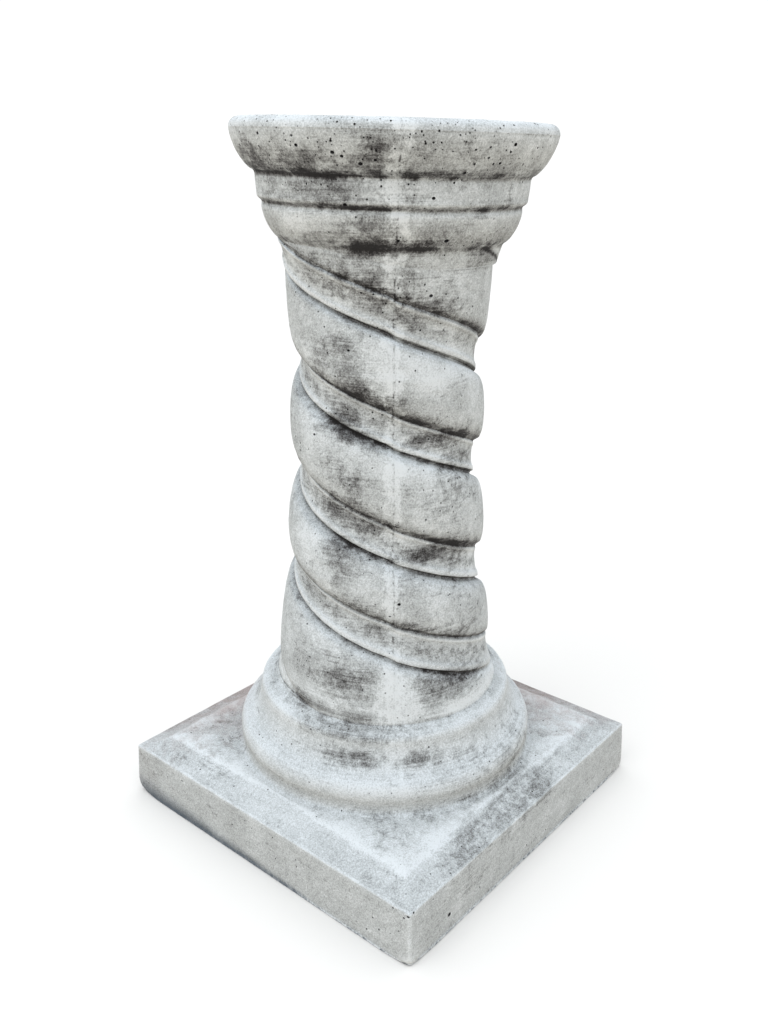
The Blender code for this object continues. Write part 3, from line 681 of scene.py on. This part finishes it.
small_holes.data = grown(small_holes, g, HOLE_SIZES)

# the large ones, where they show: angle round the column, height and radius in millimetres
LARGE_HOLES = [
    (-97, 737, 1.5), (-81, 735, 1.1), (-80, 727.5, 1.6), (-67, 722, 1.7), (-64, 719, 1.4), (-58, 713, 1.8),
    (-53, 716, 1.3), (-67, 731, 1.1), (-6, 728, 1.7), (-9.6, 713, 1.4), (-12.4, 712.6, 1.1), (-15.3, 717.5, 1.1),
    (-19.8, 712.7, 1.1), (-22, 705.5, 1.4), (-7, 722, 1.1), (-21, 724, 1.0), (-31.7, 685, 1.5), (-65.4, 679.4, 1.7),
    (-44.4, 649, 1.5), (-23.4, 648, 2.1), (-62.6, 601, 1.1), (-56, 600, 1.0), (-70, 547, 1.3), (-26, 598, 1.7),
    (-94.6, 458.3, 1.4), (-42.2, 290.4, 1.6), (-47, 277, 1.0), (-35.2, 20, 2.2), (-45.3, 58, 1.2), (-44.2, 60, 1.0),
    (-46.0, 54, 1.1), (-121, 50, 1.1), (60, 640, 1.6), (105, 716, 1.7), (140, 724, 1.4), (170, 708, 1.6),
    (-150, 718, 1.5), (-172, 699, 1.2), (98, 470, 1.5), (160, 350, 1.6), (30, 230, 1.3)
]
# each is a ball a quarter larger than its opening, a little squashed, sunk by 0.4 of the opening
SQUASHED = Matrix.Diagonal((1.0, 0.8, 1.0, 1.0))
pits = bmesh.new()
for turn_deg, level_mm, radius_mm in LARGE_HOLES:
    way = Vector((math.cos(math.radians(turn_deg)), math.sin(math.radians(turn_deg)), 0.0))
    found, spot_on, normal, _ = column.ray_cast(way * 0.5 + Vector((0.0, 0.0, level_mm / 1000)), -way)
    if found:
        seat = (Matrix.Translation(spot_on - normal * radius_mm * 0.0004)
                @ normal.to_track_quat("Z", "Y").to_matrix().to_4x4())
        bmesh.ops.create_icosphere(pits, subdivisions=2, radius=radius_mm * 0.00125, matrix=seat @ SQUASHED)
large_holes = new_piece("large_air_holes")
pits.to_mesh(large_holes.data)
pits.free()
bubble_walls = large_holes.data.attributes.new("bubble", "FLOAT", "FACE")
bubble_walls.data.foreach_set("value", [1.0] * len(large_holes.data.polygons))

SHARP_DEG = 48.0
for holes in (small_holes, large_holes):
    cut = column.modifiers.new("Open " + holes.name, "BOOLEAN")
    cut.operation = "DIFFERENCE"
    cut.solver = "MANIFOLD"
    cut.object = holes
column.data = settled(column)
bpy.data.objects.remove(small_holes)
bpy.data.objects.remove(large_holes)
column.data.materials.clear()
column.data.materials.append(cement)
column.data.polygons.foreach_set("use_smooth", [True] * len(column.data.polygons))
column.data.set_sharp_from_angle(angle=math.radians(SHARP_DEG))

# how sunk or proud each spot is of the surface around it: hollows are darkened, partly as wash and partly as painted
# shade, and arrises lightened, partly as rubbed wear and partly as a painted highlight
spots = np.empty(len(column.data.vertices) * 3)
column.data.vertices.foreach_get("co", spots)
spots = spots.reshape(-1, 3)
normals = np.empty(spots.size)
column.data.vertex_normals.foreach_get("vector", normals)
normals = normals.reshape(-1, 3)
pairs = np.empty(len(column.data.edges) * 2, np.int64)
column.data.edges.foreach_get("vertices", pairs)
pairs = pairs.reshape(-1, 2)
links = np.bincount(pairs.ravel(), minlength=len(spots))[:, None].clip(1)


def eased(values, times):
    """Values averaged with their neighbours, again and again."""
    for _ in range(times):
        total = np.zeros_like(values)
        for axis in range(values.shape[1]):
            total[:, axis] = (np.bincount(pairs[:, 0], values[pairs[:, 1], axis], len(values))
                              + np.bincount(pairs[:, 1], values[pairs[:, 0], axis], len(values)))
        values = 0.5 * values + 0.5 * total / links
    return values


# the creases of the head are darkened most, partly as wash and partly as painted shade; its mould line, the rim and the
# foot of the torus little or none
fine = ((eased(spots, 10) - spots) * normals).sum(axis=1) * 1000
level = spots[:, 2]
hollow_wash_and_shade = np.where(level > 0.62, np.clip(fine / 0.6, 0.0, 1.0) * 0.5, np.clip(fine / 0.9, 0.0, 1.0) * 0.3)
hollow_wash_and_shade *= level < 0.733
hollow_wash_and_shade *= np.where((level > 0.070) & (level < 0.080), 0.15, 1.0)
proud_wear_and_highlight = np.clip(-fine / 0.5 - 0.1, 0.0, 1.0) * np.where((level > 0.079) & (level < 0.16), 0.45, 0.9)
proud_wear_and_highlight *= np.where(level > 0.735, 0.5, 1.0)

# on the shaft they follow the winding: how many millimetres each spot lies below its band's upper
# edge, and how many above the next band
drift = np.clip((level - SHAFT_FOOT) / (SHAFT_NECK - SHAFT_FOOT), 0.0, 1.0) * NECK_ASIDE
turn = np.arctan2(spots[:, 1] - drift * TILT_TOWARDS.y, spots[:, 0] - drift * TILT_TOWARDS.x) / (2 * math.pi)
past_line = np.clip((spots[:, 0] + spots[:, 1]) / MOULD_LINE_HALF, -1.0, 1.0)
unslipped = level + past_line * 0.5 * SHAFT_SIZES["Mould Slip"]
first = np.clip((SHAFT_FOOT + SHAFT_SIZES["First Sag Reach"] - level) / SHAFT_SIZES["First Sag Reach"], 0, 1)
first *= SHAFT_SIZES["First Sag"]
other = np.clip((SHAFT_FOOT + SHAFT_SIZES["Second Sag Reach"] - level) / SHAFT_SIZES["Second Sag Reach"], 0, 1)
other *= SHAFT_SIZES["Second Sag"]
below_edge = (SHAFT_SIZES["First Edge Height"] - unslipped - first - SHAFT_SIZES["Lead"] * turn) % SHAFT_SIZES["Lead"]
first_span = SHAFT_SIZES["Spacing"] + other - first
on_second = below_edge > first_span
to_next = np.where(on_second, SHAFT_SIZES["Lead"] - first_span, first_span) * 1000
below_edge = np.where(on_second, below_edge - first_span, below_edge) * 1000
to_next -= below_edge
on_shaft = np.clip((level - SHAFT_SIZES["Run Out From"]) / 0.03, 0.0, 1.0) * (level < SHAFT_NECK)
# the crease where each lobe hangs over the band below it, the band's top edge under it and the groove under each band
# are darkened, partly as wash and partly as painted shade
crease = np.clip(1.0 - to_next / 14.0, 0.0, 1.0) ** 1.4 * 0.60 + np.clip(1.0 - to_next / 2.5, 0.0, 1.0) * 0.30
crease = np.where(below_edge < 1.5, 0.45 * (1.0 - below_edge / 1.5), crease)
groove = (np.clip(1.0 - np.abs(below_edge - 35.4) / 2.4, 0.0, 1.0) * 0.75
          + np.clip(1.0 - np.abs(below_edge - 37.0) / 9.0, 0.0, 1.0) * 0.22)
hollow_wash_and_shade = np.maximum(hollow_wash_and_shade, np.maximum(crease, groove) * on_shaft)
# the bands' two arrises are lightened, partly as rubbed wear and partly as a painted highlight
ridges = np.maximum(np.clip(1.0 - np.abs(below_edge - 3.2) / 2.2, 0.0, 1.0) * 0.8,
                    np.clip(1.0 - np.abs(below_edge - 29.5) / 4.0, 0.0, 1.0))
proud_wear_and_highlight = np.maximum(proud_wear_and_highlight * (1.0 - on_shaft), ridges * on_shaft)
# painted shade: the middle of each band's face is darkened
band_face_shade = np.clip(1.0 - np.abs(below_edge - 15.0) / 12.0, 0.0, 1.0) * 0.40 * on_shaft

# patches of dark wash, where the brush left most, and thin painted shadow lines, 3 to 5 mm high, along the creases
# under the disc and the ring and round the feet of the shaft and the torus: angle, height, half width and half height
# in millimetres round the column, and strength
WASH_AND_CREASE_SHADOW_PATCHES = [
    (-52, 732, 27, 12, 0.6), (-88, 710, 80, 18, 0.48), (-112, 722, 30, 14, 0.3), (-85, 687, 60, 14, 0.6),
    (-57, 687, 34, 12, 0.4), (-73, 703, 24, 3.5, 0.8), (-100, 704, 60, 3, 0.8), (-50, 704, 70, 3, 0.65),
    (-88, 677, 60, 3, 0.5), (0, 703, 60, 3, 0.3), (-20, 725, 40, 16, 0.15), (-72, 683, 26, 13, 0.45),
    (-60, 677, 40, 4, 0.7), (4, 689, 4, 10, 0.7), (2, 678, 40, 4, 0.4), (-10, 670, 9, 5, 0.6),
    (-56, 661, 22, 15, 0.6), (-78, 650, 40, 8, 0.35), (-54, 642, 34, 9, 1.0), (-34, 643, 14, 6, 0.7),
    (0, 638, 20, 7, 0.5), (-60, 618, 46, 24, 0.5), (-54, 595, 36, 12, 0.45), (-17, 606, 8, 12, 0.55),
    (-25, 586, 34, 10, 0.4), (0, 625, 40, 10, 0.2), (-73, 552, 14, 12, 0.5), (-68, 530, 13, 20, 0.6),
    (-66, 511, 14, 12, 0.7), (-58, 500, 26, 8, 0.5), (-33, 568, 10, 5, 0.4), (-84, 536, 26, 22, 0.5),
    (-3, 508, 16, 12, 0.3), (-17, 456, 32, 9, 0.85), (0, 448, 14, 8, 0.5), (-78, 476, 18, 9, 0.8),
    (-70, 462, 24, 8, 0.8), (-86, 472, 26, 10, 0.5), (-52, 452, 26, 5, 0.5), (-78, 424, 20, 16, 0.35),
    (-66, 415, 26, 14, 0.3), (-12, 425, 36, 26, 0.35), (-75, 395, 26, 9, 0.5), (-84, 381, 24, 9, 0.75),
    (-62, 368, 26, 8, 0.55), (-75, 333, 26, 22, 0.5), (-75, 310, 18, 12, 0.35), (-21, 336, 36, 9, 0.9),
    (4, 330, 14, 9, 0.65), (-4, 300, 30, 20, 0.2), (-5, 395, 40, 22, 0.3), (-60, 286, 24, 6, 0.4),
    (-8, 248, 28, 7, 0.45), (-45, 262, 40, 8, 0.4), (-25, 258, 12, 5, 0.5), (-68, 194, 26, 28, 0.62),
    (-78, 200, 18, 20, 0.5), (-58, 168, 12, 8, 0.4), (-26, 186, 14, 20, 0.75), (-8, 188, 36, 18, 0.8),
    (-93, 167, 44, 7, 0.9), (-62, 151, 70, 8, 0.55), (-122, 70, 40, 10, 0.25), (-12, 108, 60, 18, 0.3),
    (-66, 165, 34, 7, 0.9), (-30, 160, 40, 3, 0.35), (-62, 128, 32, 8, 0.75), (-37, 128, 20, 8, 0.65),
    (-20, 122, 40, 7, 0.3), (-85, 128, 30, 6, 0.25), (-48, 77, 60, 4, 0.3), (-27, 66, 26, 8, 0.4),
    (-5, 68, 100, 14, 0.46), (10, 98, 60, 20, 0.28), (-78, 150, 60, 8, 0.35), (-33, 30, 40, 16, 0.15),
    (100, 560, 40, 24, 0.5), (150, 430, 36, 20, 0.5), (60, 380, 30, 26, 0.45), (-150, 620, 40, 20, 0.5),
    (130, 250, 50, 26, 0.5), (-165, 320, 30, 26, 0.5), (-140, 715, 50, 12, 0.4), (75, 722, 40, 12, 0.45),
    (160, 690, 50, 10, 0.5), (110, 130, 60, 12, 0.45), (-150, 128, 50, 12, 0.4), (120, 640, 50, 8, 0.6),
    (-160, 160, 60, 4, 0.6), (70, 160, 60, 4, 0.6), (45, 700, 60, 5, 0.6), (-150, 700, 60, 5, 0.6)
]
# places scraped or rubbed bare, given the same way
BARE_PATCHES = [
    (-49, 207, 10, 34, 0.7), (-58, 238, 18, 7, 0.7), (-50, 655, 6, 15, 0.9), (-50, 690, 9, 9, 0.6),
    (-49, 612, 8, 30, 0.6), (-52, 541, 26, 22, 0.5), (-18, 530, 42, 26, 0.85), (-12, 563, 26, 14, 0.7),
    (-84, 658, 40, 12, 0.8), (-66, 590, 30, 10, 0.3), (-95, 325, 20, 12, 0.3), (-58, 318, 24, 26, 0.35),
    (-86, 66, 60, 5, 0.4), (-95, 456, 22, 18, 0.4), (-48, 428, 24, 16, 0.5), (-50, 330, 20, 12, 0.4),
    (-47, 99, 60, 12, 0.6), (-44, 150, 36, 6, 0.5), (-75, 590, 20, 12, 0.35), (-72, 560, 14, 10, 0.4),
    (-20, 420, 20, 8, 0.3), (-97, 345, 20, 14, 0.35)
]
turn_of = turn * 360.0
reach = np.hypot(spots[:, 0], spots[:, 1]) * 1000


def spread(patch):
    """How strongly a patch lies on each spot, full at its middle and half at its edge."""
    turn_deg, level_mm, half_width, half_height, strength = patch
    aside_mm = np.radians((turn_of - turn_deg + 180.0) % 360.0 - 180.0) * reach
    gap = (aside_mm / half_width) ** 2 + ((level * 1000 - level_mm) / half_height) ** 2
    return strength / (1.0 + gap ** 2)


wash_and_shade_share = band_face_shade
for laid in map(spread, WASH_AND_CREASE_SHADOW_PATCHES):
    wash_and_shade_share = np.maximum(wash_and_shade_share, laid) + 0.25 * np.minimum(wash_and_shade_share, laid)
for rubbed in map(spread, BARE_PATCHES):
    proud_wear_and_highlight = np.maximum(proud_wear_and_highlight, rubbed)
for name, values in (("hollow", hollow_wash_and_shade), ("arris", proud_wear_and_highlight), ("wash_and_shade", wash_and_shade_share)):
    layer = column.data.attributes.new(name, "FLOAT", "POINT")
    layer.data.foreach_set("value", values.astype(np.float32))

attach(column, "root")
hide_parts("twisted_column")


# The floor: a plain pale studio floor, painted matt, on which the column stands. It runs
# so far behind the column that it has no edge to be seen.
FLOOR_WHITE = "#D7D8D8"
FLOOR_ROUGHNESS = 0.95
FLOOR_RADIUS = 40.0

floor_paint = bpy.data.materials.new("matt_white_floor_paint")
floor_paint.use_nodes = True
floor_coat = floor_paint.node_tree.nodes["Principled BSDF"]
floor_coat.inputs["Base Color"].default_value = linear(FLOOR_WHITE)
floor_coat.inputs["Roughness"].default_value = FLOOR_ROUGHNESS
floor_mesh = bmesh.new()
bmesh.ops.create_circle(floor_mesh, cap_ends=True, segments=64, radius=FLOOR_RADIUS)
floor = new_piece("studio_floor")
floor_mesh.to_mesh(floor.data)
floor_mesh.free()
floor.data.materials.append(floor_paint)


# The light: a white studio tent, brightest overhead, and one broad soft panel above the
# camera's left shoulder.
TENT_LOW = 1.05
TENT_OVERHEAD = 1.75
PANEL_WIDTH = 1.6
PANEL_WATTS = 18.0
PANEL_PLACE = (-0.2, -1.6, 2.6)
PANEL_AIM = (0.0, 0.0, 0.4)

sky = bpy.data.worlds.new("soft_white_tent")
sky.use_nodes = True
w = sky.node_tree
w.nodes.clear()
upward = add(w, "ShaderNodeSeparateXYZ", {0: add(w, "ShaderNodeTexCoord", out="Generated")}, out="Z")
brightness = add(w, "ShaderNodeMapRange", {"Value": upward, "From Min": 0.1, "From Max": 1.0,
                                           "To Min": TENT_LOW, "To Max": TENT_OVERHEAD})
glow = add(w, "ShaderNodeBackground", {"Color": (1.0, 1.0, 1.0, 1.0), "Strength": brightness})
add(w, "ShaderNodeOutputWorld", {"Surface": glow}, out=None)
bpy.context.scene.world = sky
panel_light = bpy.data.lights.new("soft_panel", "AREA")
panel_light.shape = "DISK"
panel_light.size = PANEL_WIDTH
panel_light.energy = PANEL_WATTS
panel = bpy.data.objects.new("soft_panel", panel_light)
panel.location = PANEL_PLACE
panel.rotation_euler = (Vector(PANEL_AIM) - panel.location).to_track_quat("-Z", "Y").to_euler()
bpy.context.scene.collection.objects.link(panel)
bpy.context.scene.view_settings.view_transform = "Standard"
